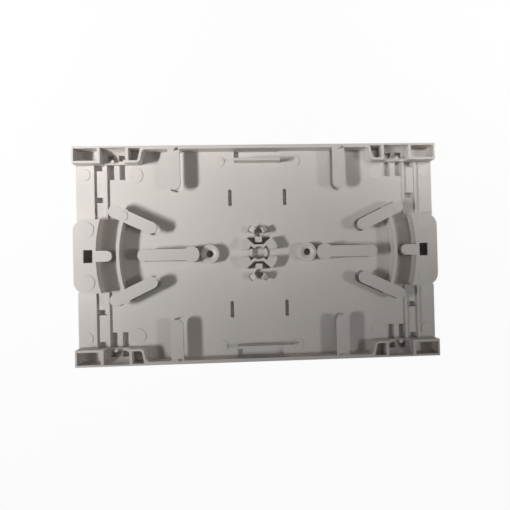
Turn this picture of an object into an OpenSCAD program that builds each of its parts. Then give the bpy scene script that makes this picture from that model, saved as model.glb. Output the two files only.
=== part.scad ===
// Fibre splice tray: one shallow injection moulding that stores bare optical
// fibre in wide loops. Everything is mirrored about both middle planes, so each
// feature is drawn once for +X and +Y. Origin on the bench, under the middle.

/* [Tray] */
// Length over the corner boxes
tray_l = 176; // [172:1:200]
// Width over the two long walls
tray_w = 104.9; // [100:0.1:124]
// Height of the walls above the bench
tray_h = 9.5; // [8.6:0.1:14]
// Thickness of the floor
floor_t = 2; // [1.2:0.1:2.6]
// Thickness of the two long walls
wall_t = 1.7; // [1.2:0.1:2.4]

/* [Row of bays along each long wall] */
// Width of the corner boxes, cable entries and side pockets
bay_w = 8.05; // [7.4:0.05:9.5]
// Wall of the bays that faces the middle of the tray
bay_front_t = 1.15; // [0.9:0.05:1.8]
// Length of a corner box
box_l = 13.3; // [11:0.1:15]
// Wall of a corner box at the end of the tray
box_end_t = 0.85; // [0.7:0.05:2]
// Wall of a corner box on the long side
box_side_t = 1; // [0.7:0.05:2]
// Wall between a corner box and the cable entry
box_inner_t = 1.35; // [1:0.05:2.4]
// Length of the cable entry between its two walls
entry_l = 12.05; // [10.6:0.05:14]
// Thickness of the rim outside the cable entry
entry_rim_t = 0.8; // [0.6:0.05:1.6]
// Height of the rim above the cove that slopes down to the floor
entry_rim_h = 0.3; // [0.2:0.05:1.8]
// Wall between the cable entry and the side pocket
pocket_end_t = 1.35; // [1:0.05:2.4]
// Length of a side pocket along its front wall, over the walls
pocket_l = 6.55; // [6:0.05:9]
// Lean of a side pocket's slanted wall
pocket_a = 12.5; // [0:0.5:20]
// Outer corner radius of a side pocket
pocket_r = 2.4; // [1.6:0.1:3.4]
// Radius where the slanted wall flares out into the long wall
pocket_flare_r = 2; // [0.5:0.1:3]

/* [Cable tie slots] */
// Width of a tie slot
tie_w = 3.1; // [2:0.1:3.6]
// Length of a tie slot across the tray
tie_l = 11.6; // [9.6:0.1:14]
// Bar of floor between the two slots of a pair
tie_bar = 2.6; // [2:0.1:3]
// Distance from the side of the tray to a tie slot
tie_inset = 3.45; // [2.4:0.05:4.5]
// Width of the sill that bridges the slots
sill_w = 1.5; // [1.2:0.1:2.4]
// Height of the sill above the floor
sill_h = 3; // [2:0.1:4]
// Radius of the pips on the sill
pip_r = 0.75; // [0.5:0.05:1.1]
// Height of the pips above the sill
pip_h = 1.8; // [1:0.1:2.4]
// Distance from a pip to the wall-side edge of its tie slot, along the tray
pip_inset = 0.5; // [0:0.1:1]

/* [End panels] */
// Reach of an end panel beyond the corner boxes
panel_lip = 0.5; // [0.2:0.1:1.5]
// Distance from the end of the tray to the outer rib
rib_inset = 7.4; // [6.5:0.1:9]
// Width of a rib
rib_w = 1.2; // [0.8:0.1:1.8]
// Height of a rib above the floor
rib_h = 1; // [0.6:0.1:2.4]
// Width of the groove between the two ribs
groove_w = 5.05; // [4:0.05:6]
// Length of a latch hole in the groove, along the tray
latch_l = 4.3; // [3:0.1:4.6]
// Width of a latch hole, across the tray
latch_w = 2.6; // [2:0.05:4]
// Distance between the two latch holes of a groove
latch_pitch = 15.6; // [12:0.1:18]

/* [End lugs] */
// Width of a lug across the tray
lug_w = 35.3; // [30:0.1:37]
// Radius of its outer corners
lug_r = 5.8; // [4:0.1:7]
// Length of the lug along the tray, at the middle
lug_l = 10.5; // [9.6:0.1:12]
// Wall of the hollow lug
lug_t = 1.5; // [1:0.1:2]
// Length of the hole through the lug
lug_hole_l = 4.3; // [3:0.05:4.6]
// Width of the hole through the lug
lug_hole_w = 6.1; // [4:0.1:10]
// Distance from the nose to the hole
lug_hole_inset = 4.65; // [3.5:0.05:5.2]
// Length of the tongue that covers the fibre channel
tongue_l = 7.4; // [6.5:0.1:8.6]
// Width of the tongue
tongue_w = 5.3; // [4:0.1:8]

/* [Fibre guides] */
// Radius of the outer face of a curved guide wall
guide_r = 60; // [52:1:64]
// Thickness of a guide wall
guide_t = 1.5; // [1:0.1:2.2]
// Half the angle that a guide wall covers
guide_a = 18.8; // [17:0.1:20]
// Width of the fibre channel between guide and lug
channel_w = 9.5; // [9:0.1:11]

/* [Retaining tabs] */
// Thickness of every tab
tab_t = 1.4; // [1:0.1:2]
// Width of the slanted tabs and of the side tabs
tab_w = 5.8; // [4.5:0.1:6.6]
// Clearance of the moulding window under a tab
tab_clear = 0.25; // [0.15:0.05:0.4]
// Slant of the tabs on the guide walls
slant_a = 25.3; // [20:0.1:30]
// Reach of a slanted tab towards the middle, from the guide wall
slant_in = 13.9; // [10:0.1:16]
// Reach of a slanted tab over the channel, from the guide wall
slant_out = 4.9; // [3.6:0.1:5.6]
// Distance of the side tabs from the middle of the tray
side_tab_x = 39.95; // [37:0.05:41]
// Reach of a side tab from the long wall
side_tab_l = 19.65; // [14:0.05:21]
// Radius of the stacking pip at the root of a side tab
nub_r = 0.65; // [0.5:0.05:1.2]
// Height of the stacking pip above the wall
nub_h = 1.5; // [0.4:0.1:2]
// Distance from the side of the tray to the middle of a stacking pip
nub_inset = 1.95; // [1.2:0.05:3]

/* [Middle tabs] */
// Distance of the round posts from the middle of the tray
post_x = 32.5; // [32.4:0.1:34]
// Radius of a round post
post_r = 3.9; // [3.2:0.1:4]
// Reach of the arm on a post, from the middle of the post
arm_l = 25.5; // [20:0.1:26]
// Width of the arm
arm_w = 5.6; // [4:0.1:6.2]

/* [Screw bosses] */
// Distance of the screw holes from the middle of the tray
boss_x = 23.9; // [21:0.1:24]
// Radius of a boss
boss_r = 4.55; // [3.8:0.05:4.55]
// Height of a boss above the bench
boss_h = 6.3; // [4.5:0.1:8]
// Diameter of the screw hole
screw_d = 3.4; // [2.5:0.1:4.2]
// Diameter of the dished seat for the screw head
seat_d = 6.6; // [5.5:0.1:7]
// Depth of the dished seat
seat_t = 0.9; // [0.5:0.1:1.4]

/* [Hub] */
// Height of the hub's four wings above the bench
hub_h = 7.3; // [6.5:0.1:8.4]
// Length of the window's edge beside the socket, which the wings follow
window_near_l = 4.5; // [3:0.1:5.4]
// Length of the window's edge beside the claws
window_far_l = 12; // [10:0.1:13]
// Distance from the middle of the tray to the window's far edge
window_y = 7.6; // [7.2:0.1:8]
// Bar of the hub between the socket and a window
bar_t = 1.05; // [0.8:0.05:1.4]
// Reach of the hub's wings along the tray
wing_x = 9.1; // [8.4:0.1:11]
// Width of a wing's tip at the far end of a window
wing_tip = 0.45; // [0.3:0.05:0.8]
// Width of the gap between two wings, where the fibre leaves the hub
wing_gap = 3.6; // [3:0.1:4.4]
// Radius of the socket in the hub
socket_r = 3.1; // [2.6:0.05:3.3]
// Thickness of the web under the socket
socket_web_t = 0.5; // [0.4:0.1:1.2]
// Wall of the low collar on both sides of the socket
collar_t = 1.35; // [1:0.05:1.8]
// Height of the collar above the floor
collar_h = 1; // [0.6:0.1:1.8]
// Half the angle that each side of the collar covers
collar_a = 33; // [24:1:34]
// Angle of the four slits between the collar and the wings
slit_a = 39; // [37:1:44]
// Width of a slit
slit_w = 0.7; // [0.5:0.05:1]
// Reach of a slit from the middle of the socket
slit_r = 5.2; // [4.6:0.1:5.8]

/* [Hub claws] */
// Distance of the claws' holes from the middle of the tray
claw_y = 10.05; // [9.9:0.05:12]
// Radius of the hole between two claws
claw_hole_r = 2.1; // [1.6:0.05:2.3]
// Angle of a claw above the line across its hole
claw_a = 28; // [20:1:36]
// Width of a claw
claw_w = 2.8; // [2:0.1:3.2]
// Thickness of a claw's stem
claw_t = 1.3; // [1:0.1:1.6]
// Reach of a claw's barb beyond its stem
barb_l = 1.3; // [0.6:0.1:1.6]
// Height of the claws above the bench
claw_h = 7; // [6:0.1:8]
// Drop of the sloping back of a barb
barb_drop = 1.3; // [0.6:0.1:1.6]
// Thickness of a barb's nose
barb_t = 0.65; // [0.4:0.05:1]
// Slit that the moulding window leaves beyond a barb
barb_slit = 0.45; // [0.3:0.05:0.8]
// Width of the key that stands in the hub's window
key_w = 3.4; // [2.5:0.1:4]
// Length of the key
key_l = 2.95; // [1.5:0.05:3.2]
// Bite of the claws' hole into the end of the key
key_bite = 0.25; // [0.1:0.05:0.5]
// Height of the key above the bench
key_h = 5.4; // [3:0.1:7]

/* [Splice holder slots] */
// Distance of the slots from the middle, along the tray
slot_x = 13.65; // [12:0.05:20]
// Distance of the slots from the middle, across the tray
slot_y = 27.7; // [24:0.1:32]
// Length of a slot
slot_l = 8.25; // [5:0.05:10]
// Width of a slot
slot_w = 1.75; // [1.2:0.05:2.5]

/* [Side rails] */
// Length of a side rail
rail_l = 22.6; // [14:0.1:40]
// Thickness of a side rail
rail_t = 1.35; // [1:0.05:2]
// Distance between a side rail and the long wall
rail_gap = 4.4; // [3:0.1:6]
// Height of a side rail above the bench
rail_h = 8.5; // [5:0.1:8.6]

/* [Hidden] */
$fn = 64;
over = 1;
plastic = [0.80, 0.78, 0.76];
fine = 180;
wide_a = 45;

end_x = tray_l / 2;
side_y = tray_w / 2;
wall_y = side_y - wall_t;
bay_y = side_y - bay_w;
box_x = end_x - box_l;
entry_x = box_x - entry_l;
pocket_x = entry_x - pocket_l;
pocket_corner = pocket_r * tan((90 - pocket_a) / 2);
flare_x = pocket_x - (bay_w - wall_t) * tan(pocket_a);
rib_x = end_x - rib_inset - rib_w;
inner_rib_x = rib_x - groove_w - rib_w;
tab_z = tray_h - tab_t;
lug_x = end_x - lug_l;
guide_x = lug_x - channel_w - guide_r;
guide_end_x = guide_x + (guide_r - guide_t / 2) * cos(guide_a);
guide_end_y = (guide_r - guide_t / 2) * sin(guide_a);
window_near_y = socket_r + bar_t;

module both_ends() {
    children();
    mirror([1, 0, 0]) children();
}

module both_sides() {
    children();
    mirror([0, 1, 0]) children();
}

module four_corners() {
    both_ends() both_sides() children();
}

// Flat bar from (0, 0) to (len, 0) with a round end of the same width at its far end.
module round_bar(len, r) {
    translate([len, 0]) circle(r);
    translate([0, -r]) square([len, 2 * r]);
}

// Bar with two round ends, whose centres are len apart.
module stadium(len, r) {
    circle(r);
    round_bar(len, r);
}

// Curved strip between two radii about the centre of the guide walls, cut off at
// the angle a on both sides.
module guide_strip(outer, inner, a) {
    far = 2 * outer;
    translate([guide_x, 0]) intersection() {
        difference() {
            circle(outer, $fn = fine);
            circle(inner, $fn = fine);
        }
        polygon([[0, 0], [far, far * tan(a)], [far, -far * tan(a)]]);
    }
}

// Outline of a lug, moved inwards by t all round.
module lug_outline(t) {
    side = lug_w / 2 - t;
    round_x = end_x - lug_r;
    round_y = lug_w / 2 - lug_r;
    difference() {
        union() {
            translate([guide_x, -side]) square([round_x - guide_x, 2 * side]);
            translate([guide_x, -round_y]) square([end_x - t - guide_x, 2 * round_y]);
            both_sides() translate([round_x, round_y]) circle(lug_r - t);
        }
        translate([guide_x, 0]) circle(lug_x - guide_x + t, $fn = fine);
    }
}

module tongue_outline(clear) {
    r = tongue_w / 2 + clear;
    tip = lug_x - tongue_l + tongue_w / 2;
    translate([tip, 0]) circle(r);
    translate([tip, -r]) square([lug_x + lug_t / 2 - tip, 2 * r]);
}

module slant_outline(clear) {
    translate([guide_end_x, guide_end_y]) rotate(slant_a) translate([-slant_in, 0])
        stadium(slant_in + slant_out, tab_w / 2 + clear);
}

module side_tab_outline(clear) {
    translate([side_tab_x, wall_y]) rotate(-90)
        round_bar(side_tab_l - tab_w / 2, tab_w / 2 + clear);
}

module arm_outline(clear) {
    translate([post_x, 0]) round_bar(arm_l - arm_w / 2, arm_w / 2 + clear);
}

// Windows that the tabs leave in the floor, where the mould reaches under them.
module tab_windows() {
    difference() {
        both_ends() {
            both_sides() {
                slant_outline(tab_clear);
                side_tab_outline(tab_clear);
            }
            arm_outline(tab_clear);
        }
        both_ends() {
            guide_strip(guide_r, guide_r - guide_t, wide_a);
            translate([post_x, 0]) circle(post_r);
        }
    }
    both_ends() difference() {
        tongue_outline(tab_clear);
        guide_strip(2 * guide_r, lug_x - guide_x, wide_a);
    }
}

module tie_slots() {
    step = (tie_bar + tie_w) / 2;
    for (side = [-1, 1])
        translate([entry_x + entry_l / 2 + side * step - tie_w / 2, side_y - tie_inset - tie_l])
            square([tie_w, tie_l]);
}

module latch_holes() {
    for (k = [0, 1])
        translate([rib_x - groove_w / 2 - latch_l / 2, bay_y - latch_w - k * latch_pitch])
            square([latch_l, latch_w]);
}

// The two windows beside the socket, and the hole and slits of the claws.
module hub_windows() {
    both_sides() {
        polygon([
            [-window_near_l / 2, window_near_y], [window_near_l / 2, window_near_y],
            [window_far_l / 2, window_y], [-window_far_l / 2, window_y]
        ]);
        translate([0, claw_y]) circle(claw_hole_r);
        both_ends() claw_place()
            translate([claw_hole_r + claw_t, -claw_w / 2 - barb_slit / 2])
                square([barb_l + barb_slit, claw_w + barb_slit]);
    }
}

module floor_outline() {
    panel_y = lug_w / 2;
    difference() {
        union() {
            square([tray_l, tray_w], center = true);
            four_corners() translate([end_x - over, panel_y]) square([over + panel_lip, bay_y - panel_y]);
        }
        both_ends() lug_outline(lug_t);
        tab_windows();
        four_corners() {
            tie_slots();
            latch_holes();
            translate([slot_x, slot_y - slot_l / 2 + slot_w / 2]) rotate(90)
                stadium(slot_l - slot_w, slot_w / 2);
        }
        both_sides() translate([-rail_l / 2, wall_y - rail_gap]) square([rail_l, rail_gap]);
        hub_windows();
        both_ends() translate([boss_x, 0]) circle(screw_d / 2);
    }
}

// The wall between the two side pockets. The bays make the rest of the side.
module long_wall() {
    translate([-flare_x, wall_y, 0]) cube([2 * flare_x, wall_t, tray_h]);
}

module corner_box() {
    difference() {
        translate([box_x, bay_y, 0]) cube([box_l, bay_w, tray_h]);
        translate([box_x + box_inner_t, bay_y + bay_front_t, floor_t])
            cube([
                box_l - box_inner_t - box_end_t,
                bay_w - bay_front_t - box_side_t,
                tray_h
            ]);
    }
}

// Low place in the side where a cable comes in: a rim, and a cove down to the floor.
module cable_entry() {
    cove_z = tray_h - entry_rim_h;
    cove_r = cove_z - floor_t;
    cove_y = side_y - entry_rim_t - cove_r;
    difference() {
        translate([entry_x - over / 2, bay_y, floor_t])
            cube([entry_l + over, bay_w, tray_h - floor_t]);
        translate([entry_x - over, bay_y - over, cove_z])
            cube([entry_l + 2 * over, bay_w - entry_rim_t + over, entry_rim_h + over]);
        translate([entry_x - over, cove_y, cove_z]) rotate([0, 90, 0])
            cylinder(r = cove_r, h = entry_l + 2 * over, $fn = fine);
        translate([entry_x - over, bay_y - over, floor_t])
            cube([entry_l + 2 * over, cove_y - bay_y + over, tray_h]);
        translate([0, 0, floor_t - over]) linear_extrude(tray_h) tie_slots();
    }
    translate([entry_x - over / 2, bay_y, floor_t]) cube([entry_l + over, sill_w, sill_h]);
    for (side = [-1, 1])
        translate([
            entry_x + entry_l / 2 + side * (tie_bar + tie_w) / 2 - tie_w / 2 - pip_inset,
            bay_y + sill_w - pip_r / 2,
            floor_t
        ])
            cylinder(r = pip_r, h = sill_h + pip_h);
}

// Outline of a side pocket, moved inwards by t. Its slanted wall is tangent to a
// round corner, whose middle is the origin here.
module pocket_outline(t) {
    r = pocket_r - t;
    height = bay_w - pocket_r - (t > 0 ? box_side_t : 0);
    length = pocket_l - pocket_corner - (t > 0 ? pocket_end_t : 0);
    side_x = -r * cos(pocket_a);
    translate([pocket_x + pocket_corner, bay_y + pocket_r]) {
        circle(r);
        polygon([
            [0, -r], [length, -r], [length, height],
            [side_x - (height + r * sin(pocket_a)) * tan(pocket_a), height],
            [side_x, -r * sin(pocket_a)]
        ]);
    }
}

// Fillet between the slanted wall and the long wall.
module pocket_flare() {
    reach = pocket_flare_r * tan((90 - pocket_a) / 2);
    translate([flare_x, wall_y]) difference() {
        polygon([
            [over / 2, over / 2], [-reach, over / 2], [-reach, 0], [-reach, -pocket_flare_r],
            [reach * sin(pocket_a), -reach * cos(pocket_a)]
        ]);
        translate([-reach, -pocket_flare_r]) circle(pocket_flare_r);
    }
}

module side_pocket() {
    difference() {
        linear_extrude(tray_h) pocket_outline(0);
        translate([0, 0, floor_t]) linear_extrude(tray_h) pocket_outline(bay_front_t);
    }
    linear_extrude(tray_h) pocket_flare();
}

module ribs() {
    panel_y = lug_w / 2;
    for (x = [rib_x, inner_rib_x])
        translate([x, panel_y, 0]) cube([rib_w, bay_y - panel_y + over / 2, floor_t + rib_h]);
}

module lug() {
    difference() {
        linear_extrude(tray_h) lug_outline(0);
        translate([0, 0, -over]) linear_extrude(tray_h - lug_t + over) lug_outline(lug_t);
        translate([end_x - lug_hole_inset - lug_hole_l, -lug_hole_w / 2, 0])
            cube([lug_hole_l, lug_hole_w, tray_h + over]);
    }
    translate([0, 0, tab_z]) linear_extrude(tab_t) tongue_outline(0);
}

module guide() {
    linear_extrude(tray_h) guide_strip(guide_r, guide_r - guide_t, guide_a);
    both_sides() translate([0, 0, tab_z]) linear_extrude(tab_t) slant_outline(0);
}

module side_tab() {
    translate([0, 0, tab_z]) linear_extrude(tab_t) side_tab_outline(0);
    translate([side_tab_x, side_y - nub_inset, tab_z]) cylinder(r = nub_r, h = tab_t + nub_h);
}

module middle_tab() {
    translate([post_x, 0, 0]) cylinder(r = post_r, h = tray_h);
    translate([0, 0, tab_z]) linear_extrude(tab_t) arm_outline(0);
}

module boss() {
    translate([boss_x, 0, 0]) difference() {
        cylinder(r = boss_r, h = boss_h);
        translate([0, 0, -over]) cylinder(d = screw_d, h = boss_h + 2 * over);
        translate([0, 0, boss_h - seat_t])
            cylinder(d1 = screw_d, d2 = seat_d, h = seat_t);
    }
}

// Quarter of the hub: half a bar beside the socket, and a wing that follows the
// slanted edge of the window and then folds back to the gap on the X axis.
module wing() {
    tip_x = window_far_l / 2;
    gap_y = wing_gap / 2;
    polygon([
        [0, 0], [0, window_near_y], [window_near_l / 2, window_near_y],
        [tip_x, window_y], [tip_x + wing_tip, window_y],
        [wing_x - 2 * wing_tip, window_near_y + 2 * wing_tip], [wing_x, socket_r],
        [wing_x - wing_tip, gap_y], [socket_r + collar_t + wing_tip, gap_y],
        [slit_r * cos(slit_a), slit_r * sin(slit_a)]
    ]);
}

// Low split collar on both sides of the socket.
module collar() {
    reach = socket_r + collar_t;
    linear_extrude(floor_t + collar_h) intersection() {
        circle(reach);
        both_ends() polygon([[0, 0], [reach, reach * tan(collar_a)], [reach, -reach * tan(collar_a)]]);
    }
}

// Blind socket for a pin, and the four slits that run out from it.
module socket() {
    translate([0, 0, socket_web_t]) linear_extrude(tray_h) {
        circle(socket_r);
        four_corners() rotate(slit_a) translate([0, -slit_w / 2]) square([slit_r, slit_w]);
    }
}

// Moves a claw, drawn along +X, to its place beside the hole on +Y.
module claw_place() {
    translate([0, claw_y]) rotate(claw_a) children();
}

// One of the four claws: a stem beside the hole, and a barb that hangs over the slit.
module claw() {
    stem_r = claw_hole_r + claw_t;
    barb_r = stem_r + barb_l;
    nose_z = claw_h - barb_drop;
    difference() {
        claw_place() translate([0, claw_w / 2, 0]) rotate([90, 0, 0]) linear_extrude(claw_w) polygon([
            [0, 0], [stem_r, 0], [stem_r, nose_z - 2 * barb_t], [barb_r, nose_z - barb_t],
            [barb_r, nose_z], [stem_r - claw_t / 2, claw_h], [0, claw_h]
        ]);
        translate([0, claw_y, -over]) cylinder(r = claw_hole_r, h = tray_h);
    }
}

// Key between the claws' hole and the window, with the hole's curve cut out of it.
module key() {
    difference() {
        translate([-key_w / 2, claw_y - claw_hole_r + key_bite - key_l, 0]) cube([key_w, key_l, key_h]);
        translate([0, claw_y, -over]) cylinder(r = claw_hole_r, h = tray_h);
    }
}

module rail() {
    translate([-rail_l / 2, wall_y - rail_gap - rail_t, 0]) cube([rail_l, rail_t, rail_h]);
}

module splice_tray() {
    color(plastic) difference() {
        union() {
            linear_extrude(floor_t) floor_outline();
            linear_extrude(hub_h) four_corners() wing();
            collar();
            both_sides() {
                long_wall();
                rail();
                key();
                both_ends() claw();
            }
            four_corners() {
                corner_box();
                cable_entry();
                side_pocket();
                side_tab();
                ribs();
            }
            both_ends() {
                lug();
                guide();
                middle_tab();
                boss();
            }
        }
        socket();
    }
}

splice_tray();
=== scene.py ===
import math

import bmesh
import bpy
from mathutils import Matrix, Vector


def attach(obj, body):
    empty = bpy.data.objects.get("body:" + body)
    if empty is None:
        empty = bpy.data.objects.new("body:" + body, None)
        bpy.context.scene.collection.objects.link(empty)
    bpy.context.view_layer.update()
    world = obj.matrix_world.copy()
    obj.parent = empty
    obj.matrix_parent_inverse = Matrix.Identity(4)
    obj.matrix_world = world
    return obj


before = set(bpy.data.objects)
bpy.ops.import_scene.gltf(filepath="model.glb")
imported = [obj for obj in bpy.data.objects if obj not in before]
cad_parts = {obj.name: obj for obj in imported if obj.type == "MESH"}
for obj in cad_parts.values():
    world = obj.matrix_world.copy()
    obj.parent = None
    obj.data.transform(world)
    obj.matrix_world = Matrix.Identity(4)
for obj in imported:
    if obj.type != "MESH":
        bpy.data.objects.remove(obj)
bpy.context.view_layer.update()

# The camera. It hangs a quarter of a metre above the tray, a little left of its
# middle, and looks almost straight down, so only a trace of the walls' sides shows.
camera_data = bpy.data.cameras.new("camera")
camera_data.sensor_width = 36.0
camera_data.lens = 35.3
camera_data.shift_x = -0.0403
camera_data.shift_y = -0.0023
camera_data.clip_start = 0.01
camera_data.clip_end = 10.0
camera = bpy.data.objects.new("camera", camera_data)
camera.location = (-0.00574, -0.00331, 0.25124)
camera.rotation_euler = (math.radians(0.69), math.radians(-3.24), math.radians(-1.34))
bpy.context.scene.collection.objects.link(camera)
bpy.context.scene.camera = camera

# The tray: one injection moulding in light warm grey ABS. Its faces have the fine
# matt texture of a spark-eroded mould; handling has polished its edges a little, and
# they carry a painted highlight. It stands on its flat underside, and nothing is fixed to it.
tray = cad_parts["splice_tray"]
tray_grey = (0.600, 0.564, 0.537, 1.0)
tray_grey_warm = (0.622, 0.576, 0.549, 1.0)
tray_grey_cool = (0.580, 0.553, 0.525, 1.0)
# A lighter grey, painted on rubbed edges as a highlight
rubbed_highlight_edge_grey = (0.700, 0.668, 0.640, 1.0)
# A darker grey, painted into corners as shade
corner_shade_grey = (0.330, 0.299, 0.276, 1.0)
# The plastic: how strongly it bends light, and how deep its pits stand on the surface
plastic_ior = 1.50
pit_strength = 0.5
# Clouds of warmer and cooler grey about 40 mm wide, small ones about 10 mm wide that
# hide up to a third of their colour, and finer patches of duller texture
wide_clouds_per_metre = 26.0
small_clouds_per_metre = 95.0
small_cloud_share = 0.35
rough_patches_per_metre = 420.0
# Rubbed edges, smoother and with a painted highlight: how uneven, how much lighter the
# painted highlight makes them, and how much smoother
rub_and_highlight_patches_per_metre = 240.0
least_rub_and_highlight = 0.35
rubbed_highlight_share = 0.55
rubbed_roughness_change = -0.12
# How much a surface turns, as the cosine of the angle, before it counts as an edge
flat_turn = 0.995
sharp_turn = 0.80
# Painted shade in the corners: how far out from a corner it lies, how open a place has
# to be to stay unshaded, how closed to be fully shaded, and how far it darkens the plastic
shade_reach = 0.0016
unshaded_opening = 0.75
fully_shaded_opening = 0.2
shade_share = 0.45
# Where the values of a noise texture lie: nearly all of them, and the middle ones
noise_spread = (0.3, 0.7)
noise_middle = (0.35, 0.65)
ray_samples = 4


def feed(links, socket, value):
    """Sets a socket to a plain number or colour, or links another node's output to it."""
    if isinstance(value, bpy.types.NodeSocket):
        links.new(value, socket)
    else:
        socket.default_value = value


def reckon(nodes, links, operation, *terms):
    """The result of a Math node whose terms are outputs or plain numbers."""
    maths = nodes.new("ShaderNodeMath")
    maths.operation = operation
    for socket, term in zip(maths.inputs, terms):
        feed(links, socket, term)
    return maths.outputs["Value"]


def spread_range(nodes, links, value, given, wanted):
    """Takes values in the given range to the wanted one, and holds them inside it."""
    stretch = nodes.new("ShaderNodeMapRange")
    stretch.inputs["From Min"].default_value, stretch.inputs["From Max"].default_value = given
    stretch.inputs["To Min"].default_value, stretch.inputs["To Max"].default_value = wanted
    links.new(value, stretch.inputs["Value"])
    return stretch.outputs["Result"]


def blend_colours(nodes, links, amount, first, second):
    """The first colour where the amount is 0, and the second where it is 1."""
    mix = nodes.new("ShaderNodeMix")
    mix.data_type = "RGBA"
    inputs = {socket.identifier: socket for socket in mix.inputs}
    outputs = {socket.identifier: socket for socket in mix.outputs}
    links.new(amount, inputs["Factor_Float"])
    feed(links, inputs["A_Color"], first)
    feed(links, inputs["B_Color"], second)
    return outputs["Result_Color"]


def noise_field(nodes, links, scale, detail, roughness):
    """Noise fixed to the object; the scale socket sets how many waves go in a metre."""
    place = nodes.new("ShaderNodeTexCoord")
    noise = nodes.new("ShaderNodeTexNoise")
    noise.inputs["Detail"].default_value = detail
    noise.inputs["Roughness"].default_value = roughness
    links.new(place.outputs["Object"], noise.inputs["Vector"])
    links.new(scale, noise.inputs["Scale"])
    return noise.outputs["Fac"]


def new_group(name, takes, gives):
    """An empty shader node group that takes numbers and gives the named outputs."""
    group = bpy.data.node_groups.new(name, "ShaderNodeTree")
    for socket_name in takes:
        group.interface.new_socket(socket_name, in_out="INPUT", socket_type="NodeSocketFloat")
    for socket_name, socket_type in gives:
        group.interface.new_socket(socket_name, in_out="OUTPUT", socket_type=socket_type)
    entry = group.nodes.new("NodeGroupInput")
    leave = group.nodes.new("NodeGroupOutput")
    return group, entry, leave


def spark_texture():
    """The grain that a spark-eroded mould leaves: fine pits, and slow mottling."""
    group, entry, leave = new_group(
        "spark_texture",
        ("Grains per metre", "Mottles per metre"),
        (("Height", "NodeSocketFloat"), ("Mottle", "NodeSocketFloat")),
    )
    for scale, detail, result in (
        ("Grains per metre", 3.0, "Height"),
        ("Mottles per metre", 4.0, "Mottle"),
    ):
        field = noise_field(group.nodes, group.links, entry.outputs[scale], detail, 0.6)
        group.links.new(field, leave.inputs[result])
    return group


def edge_wear_and_highlight():
    """A mask of the outer edges, where hands and cables have rubbed the texture off and a highlight
    is painted.
    """
    group, entry, leave = new_group(
        "edge_wear_and_highlight",
        ("Width", "Patches per metre"),
        (("Worn and highlit", "NodeSocketFloat"), ("Normal", "NodeSocketVector")),
    )
    nodes, links = group.nodes, group.links
    rounded = nodes.new("ShaderNodeBevel")
    rounded.samples = ray_samples
    links.new(entry.outputs["Width"], rounded.inputs["Radius"])
    surface = nodes.new("ShaderNodeNewGeometry")
    facing = nodes.new("ShaderNodeVectorMath")
    facing.operation = "DOT_PRODUCT"
    links.new(rounded.outputs["Normal"], facing.inputs[0])
    links.new(surface.outputs["Normal"], facing.inputs[1])
    turns = (flat_turn, sharp_turn)
    turned = spread_range(nodes, links, facing.outputs["Value"], turns, (0.0, 1.0))
    patches = noise_field(nodes, links, entry.outputs["Patches per metre"], 3.0, 0.5)
    uneven = spread_range(nodes, links, patches, noise_middle, (least_rub_and_highlight, 1.0))
    links.new(reckon(nodes, links, "MULTIPLY", turned, uneven), leave.inputs["Worn and highlit"])
    links.new(rounded.outputs["Normal"], leave.inputs["Normal"])
    return group


def place_group(nodes, group, settings):
    """Puts a group in a material, with the material's own values on its inputs."""
    placed = nodes.new("ShaderNodeGroup")
    placed.node_tree = group
    for socket_name, value in settings.items():
        placed.inputs[socket_name].default_value = value
    return placed


grain_group = spark_texture()
wear_and_highlight_group = edge_wear_and_highlight()


def matt_plastic(name, grains_per_metre, pit_depth, roughness_range, wear_and_highlight_width):
    """Light grey ABS as moulded: mottled, with painted shade in its corners and a painted highlight
    on rubbed edges.
    """
    material = bpy.data.materials.new(name)
    material.use_nodes = True
    nodes, links = material.node_tree.nodes, material.node_tree.links
    shader = nodes["Principled BSDF"]
    shader.inputs["IOR"].default_value = plastic_ior
    grain = place_group(nodes, grain_group, {
        "Grains per metre": grains_per_metre,
        "Mottles per metre": small_clouds_per_metre,
    })
    clouds = place_group(nodes, grain_group, {
        "Grains per metre": rough_patches_per_metre,
        "Mottles per metre": wide_clouds_per_metre,
    })
    wear_and_highlight = place_group(nodes, wear_and_highlight_group, {
        "Width": wear_and_highlight_width,
        "Patches per metre": rub_and_highlight_patches_per_metre,
    })

    warm = spread_range(nodes, links, clouds.outputs["Mottle"], noise_middle, (0.0, 1.0))
    tint = blend_colours(nodes, links, warm, tray_grey_cool, tray_grey_warm)
    small_clouds = (0.0, small_cloud_share)
    fine = spread_range(nodes, links, grain.outputs["Mottle"], noise_spread, small_clouds)
    mottled = blend_colours(nodes, links, fine, tint, tray_grey)
    # Painted shade: the plastic is darkened where a corner closes round it
    occlusion = nodes.new("ShaderNodeAmbientOcclusion")
    occlusion.samples = ray_samples
    occlusion.inputs["Distance"].default_value = shade_reach
    openings = (unshaded_opening, fully_shaded_opening)
    painted_corner_shade = spread_range(nodes, links, occlusion.outputs["AO"], openings, (0.0, shade_share))
    corner_shaded = blend_colours(nodes, links, painted_corner_shade, mottled, corner_shade_grey)
    # Painted highlight: the rubbed edges are painted lighter, as where rounded edges catch the
    # light
    rubbed_highlight = reckon(nodes, links, "MULTIPLY", wear_and_highlight.outputs["Worn and highlit"], rubbed_highlight_share)
    links.new(
        blend_colours(nodes, links, rubbed_highlight, corner_shaded, rubbed_highlight_edge_grey),
        shader.inputs["Base Color"],
    )

    patchy = spread_range(nodes, links, clouds.outputs["Height"], noise_spread, roughness_range)
    links.new(
        reckon(nodes, links, "MULTIPLY_ADD", wear_and_highlight.outputs["Worn and highlit"], rubbed_roughness_change, patchy),
        shader.inputs["Roughness"],
    )

    pits = nodes.new("ShaderNodeBump")
    pits.inputs["Strength"].default_value = pit_strength
    pits.inputs["Distance"].default_value = pit_depth
    links.new(grain.outputs["Height"], pits.inputs["Height"])
    links.new(wear_and_highlight.outputs["Normal"], pits.inputs["Normal"])
    links.new(pits.outputs["Normal"], shader.inputs["Normal"])
    return material


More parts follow.
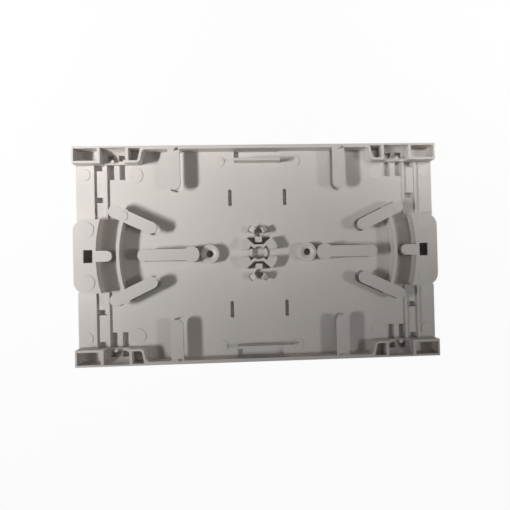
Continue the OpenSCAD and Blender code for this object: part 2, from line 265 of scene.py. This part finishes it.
tray_plastic = matt_plastic(
    "tray_plastic",
    grains_per_metre=3200.0,
    pit_depth=0.00005,
    roughness_range=(0.44, 0.56),
    wear_and_highlight_width=0.00018,
)
tray.data.materials.clear()
tray.data.materials.append(tray_plastic)

# The pin marks: shallow round lands where the ejector pins of the mould pushed the
# tray out. They are part of the moulding, a quarter of a millimetre proud of the
# face, and smoother than the textured plastic round them.
mark_rise = 0.00024
mark_chamfer = 0.00006
mark_sink = 0.00010
mark_sides = 64
floor_top = 0.0020
tab_top = 0.0095
both_sides = (-1.0, 1.0)
back_only = (1.0,)
# Distance from the tray's middle along X and Y, height of the face, radius, and the
# rows, front and back, that have the mark
marks = {
    "floor corner": (0.0598, 0.0395, floor_top, 0.0037, both_sides),
    "end panel": (0.0846, 0.0400, floor_top, 0.0030, both_sides),
    "long wall": (0.0188, 0.0458, floor_top, 0.0028, both_sides),
    "slanted tab": (0.0645, 0.0190, tab_top, 0.00245, back_only),
    "lug": (0.0818, 0.0126, tab_top, 0.0037, both_sides),
}


def add_land(solid, middle_x, middle_y, base, radius):
    """One round land: a closed disc with a small chamfer, sunk a little into its face."""
    profile = (
        (radius, base - mark_sink),
        (radius, base + mark_rise - mark_chamfer),
        (radius - mark_chamfer, base + mark_rise),
    )
    rings = []
    for ring_radius, height in profile:
        ring = []
        for step in range(mark_sides):
            turn = math.tau * step / mark_sides
            ring_x = middle_x + ring_radius * math.cos(turn)
            ring_y = middle_y + ring_radius * math.sin(turn)
            ring.append(solid.verts.new((ring_x, ring_y, height)))
        rings.append(ring)
    for lower, upper in zip(rings, rings[1:]):
        for step in range(mark_sides):
            after = (step + 1) % mark_sides
            solid.faces.new((lower[step], lower[after], upper[after], upper[step]))
    solid.faces.new(rings[-1])
    solid.faces.new(list(reversed(rings[0])))


mark_plastic = matt_plastic(
    "mark_plastic",
    grains_per_metre=2200.0,
    pit_depth=0.00002,
    roughness_range=(0.38, 0.50),
    wear_and_highlight_width=0.00012,
)
mark_solid = bmesh.new()
for mark_x, mark_y, base, radius, rows in marks.values():
    for side_x in both_sides:
        for side_y in rows:
            add_land(mark_solid, side_x * mark_x, side_y * mark_y, base, radius)
mark_mesh = bpy.data.meshes.new("pin_marks")
mark_solid.to_mesh(mark_mesh)
mark_solid.free()
mark_mesh.materials.append(mark_plastic)
pin_marks = bpy.data.objects.new("pin_marks", mark_mesh)
bpy.context.scene.collection.objects.link(pin_marks)
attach(pin_marks, "root")

# The bench: a wide matt top, painted pale grey, that the tray lies on. Round the tray
# it looks white to the camera, with the tray's shadow left faintly on it, and under
# the tray, where it shows through the holes, it is the plain paint.
bench_half = 3.0
bench_top = -0.0001
under_tray_x = 0.0865
under_tray_y = 0.0512
bench_grey_light = (0.630, 0.618, 0.608, 1.0)
bench_grey_dark = (0.600, 0.590, 0.580, 1.0)
paint_grains_per_metre = 900.0
paint_mottles_per_metre = 14.0
paint_roughness = (0.82, 0.92)
paint_specular = 0.2
stipple_strength = 0.3
stipple_depth = 0.00003
white_share = 0.95
white = (1.0, 1.0, 1.0, 1.0)


def white_for_camera(nodes, links, plain, bright, share):
    """A shader that is the bright one, by that share, to the camera and to reflections."""
    path = nodes.new("ShaderNodeLightPath")
    seen = path.outputs["Is Camera Ray"]
    for kind in ("Is Glossy Ray", "Is Transmission Ray"):
        seen = reckon(nodes, links, "MAXIMUM", seen, path.outputs[kind])
    mix = nodes.new("ShaderNodeMixShader")
    links.new(reckon(nodes, links, "MULTIPLY", seen, share), mix.inputs["Fac"])
    links.new(plain, mix.inputs[1])
    links.new(bright, mix.inputs[2])
    return mix.outputs["Shader"]


def bench_paint(name, looks_white):
    """Pale grey paint, rolled on matt: slightly mottled, with a fine stipple."""
    material = bpy.data.materials.new(name)
    material.use_nodes = True
    nodes, links = material.node_tree.nodes, material.node_tree.links
    shader = nodes["Principled BSDF"]
    shader.inputs["Specular IOR Level"].default_value = paint_specular
    paint = place_group(nodes, grain_group, {
        "Grains per metre": paint_grains_per_metre,
        "Mottles per metre": paint_mottles_per_metre,
    })
    mottle = paint.outputs["Mottle"]
    links.new(
        blend_colours(nodes, links, mottle, bench_grey_dark, bench_grey_light),
        shader.inputs["Base Color"],
    )
    links.new(
        spread_range(nodes, links, mottle, noise_spread, paint_roughness),
        shader.inputs["Roughness"],
    )
    stipple = nodes.new("ShaderNodeBump")
    stipple.inputs["Strength"].default_value = stipple_strength
    stipple.inputs["Distance"].default_value = stipple_depth
    links.new(paint.outputs["Height"], stipple.inputs["Height"])
    links.new(stipple.outputs["Normal"], shader.inputs["Normal"])
    if looks_white:
        glow = nodes.new("ShaderNodeEmission")
        glow.inputs["Color"].default_value = white
        glow.inputs["Strength"].default_value = 1.0
        links.new(
            white_for_camera(
                nodes, links, shader.outputs["BSDF"], glow.outputs["Emission"], white_share
            ),
            nodes["Material Output"].inputs["Surface"],
        )
    return material


corners_round = ((-1, -1), (1, -1), (1, 1), (-1, 1))
outer = [(x * bench_half, y * bench_half, bench_top) for x, y in corners_round]
inner = [(x * under_tray_x, y * under_tray_y, bench_top) for x, y in corners_round]
border = [(side, (side + 1) % 4, 4 + (side + 1) % 4, 4 + side) for side in range(4)]
bench_mesh = bpy.data.meshes.new("bench")
bench_mesh.from_pydata(outer + inner, [], [(4, 5, 6, 7)] + border)
bench_mesh.materials.append(bench_paint("bench_under_tray", looks_white=False))
bench_mesh.materials.append(bench_paint("bench_around_tray", looks_white=True))
for face in bench_mesh.polygons:
    face.material_index = 0 if face.index == 0 else 1
bench = bpy.data.objects.new("bench", bench_mesh)
bpy.context.scene.collection.objects.link(bench)

# The lamps: a strip box on the left, along the tray's width, draws the shadows and
# blurs them most that way. A small round box opposite it, a wide one overhead and a
# narrow beam on the far right corner open them.


def softbox(name, place, aim, width, length, opening, watts):
    """An oval box of light turned to its aim, with its length along the tray's width."""
    data = bpy.data.lights.new(name, "AREA")
    data.shape = "ELLIPSE"
    data.size = width
    data.size_y = length
    data.spread = math.radians(opening)
    data.energy = watts
    back = (Vector(place) - Vector(aim)).normalized()
    across = Vector((0.0, 1.0, 0.0))
    along = (across - across.dot(back) * back).normalized()
    box = bpy.data.objects.new(name, data)
    box.location = place
    box.rotation_euler = Matrix((along.cross(back), along, back)).transposed().to_euler()
    bpy.context.scene.collection.objects.link(box)


softbox(
    "strip_box", place=(-0.62, -0.035, 0.55), aim=(-0.45, 0.418, 0.0),
    width=0.06, length=0.28, opening=101.7, watts=10.8,
)
softbox(
    "right_box", place=(0.54, -0.05, 0.55), aim=(0.0, 0.0, 0.0),
    width=0.12, length=0.12, opening=180.0, watts=0.97,
)
softbox(
    "wide_box", place=(0.16, 0.16, 0.60), aim=(0.0, 0.0, 0.0),
    width=0.60, length=0.60, opening=180.0, watts=0.10,
)
softbox(
    "corner_box", place=(0.16, 0.12, 0.50), aim=(0.161, 0.126, 0.0),
    width=0.05, length=0.05, opening=33.8, watts=0.099,
)

# The room: dim, slightly warm walls that light the tray evenly from all sides. The
# camera and glossy plastic see them as plain white.
room_tint = (1.0, 0.985, 0.97, 1.0)
room_level = 0.035
world = bpy.data.worlds.new("room")
world.use_nodes = True
room_nodes, room_links = world.node_tree.nodes, world.node_tree.links
dim_room = room_nodes["Background"]
dim_room.inputs["Color"].default_value = room_tint
dim_room.inputs["Strength"].default_value = room_level
white_room = room_nodes.new("ShaderNodeBackground")
white_room.inputs["Color"].default_value = white
white_room.inputs["Strength"].default_value = 1.0
dim, bright = dim_room.outputs["Background"], white_room.outputs["Background"]
room_links.new(
    white_for_camera(room_nodes, room_links, dim, bright, 1.0),
    room_nodes["World Output"].inputs["Surface"],
)
bpy.context.scene.world = world
bpy.context.scene.view_settings.view_transform = "Standard"
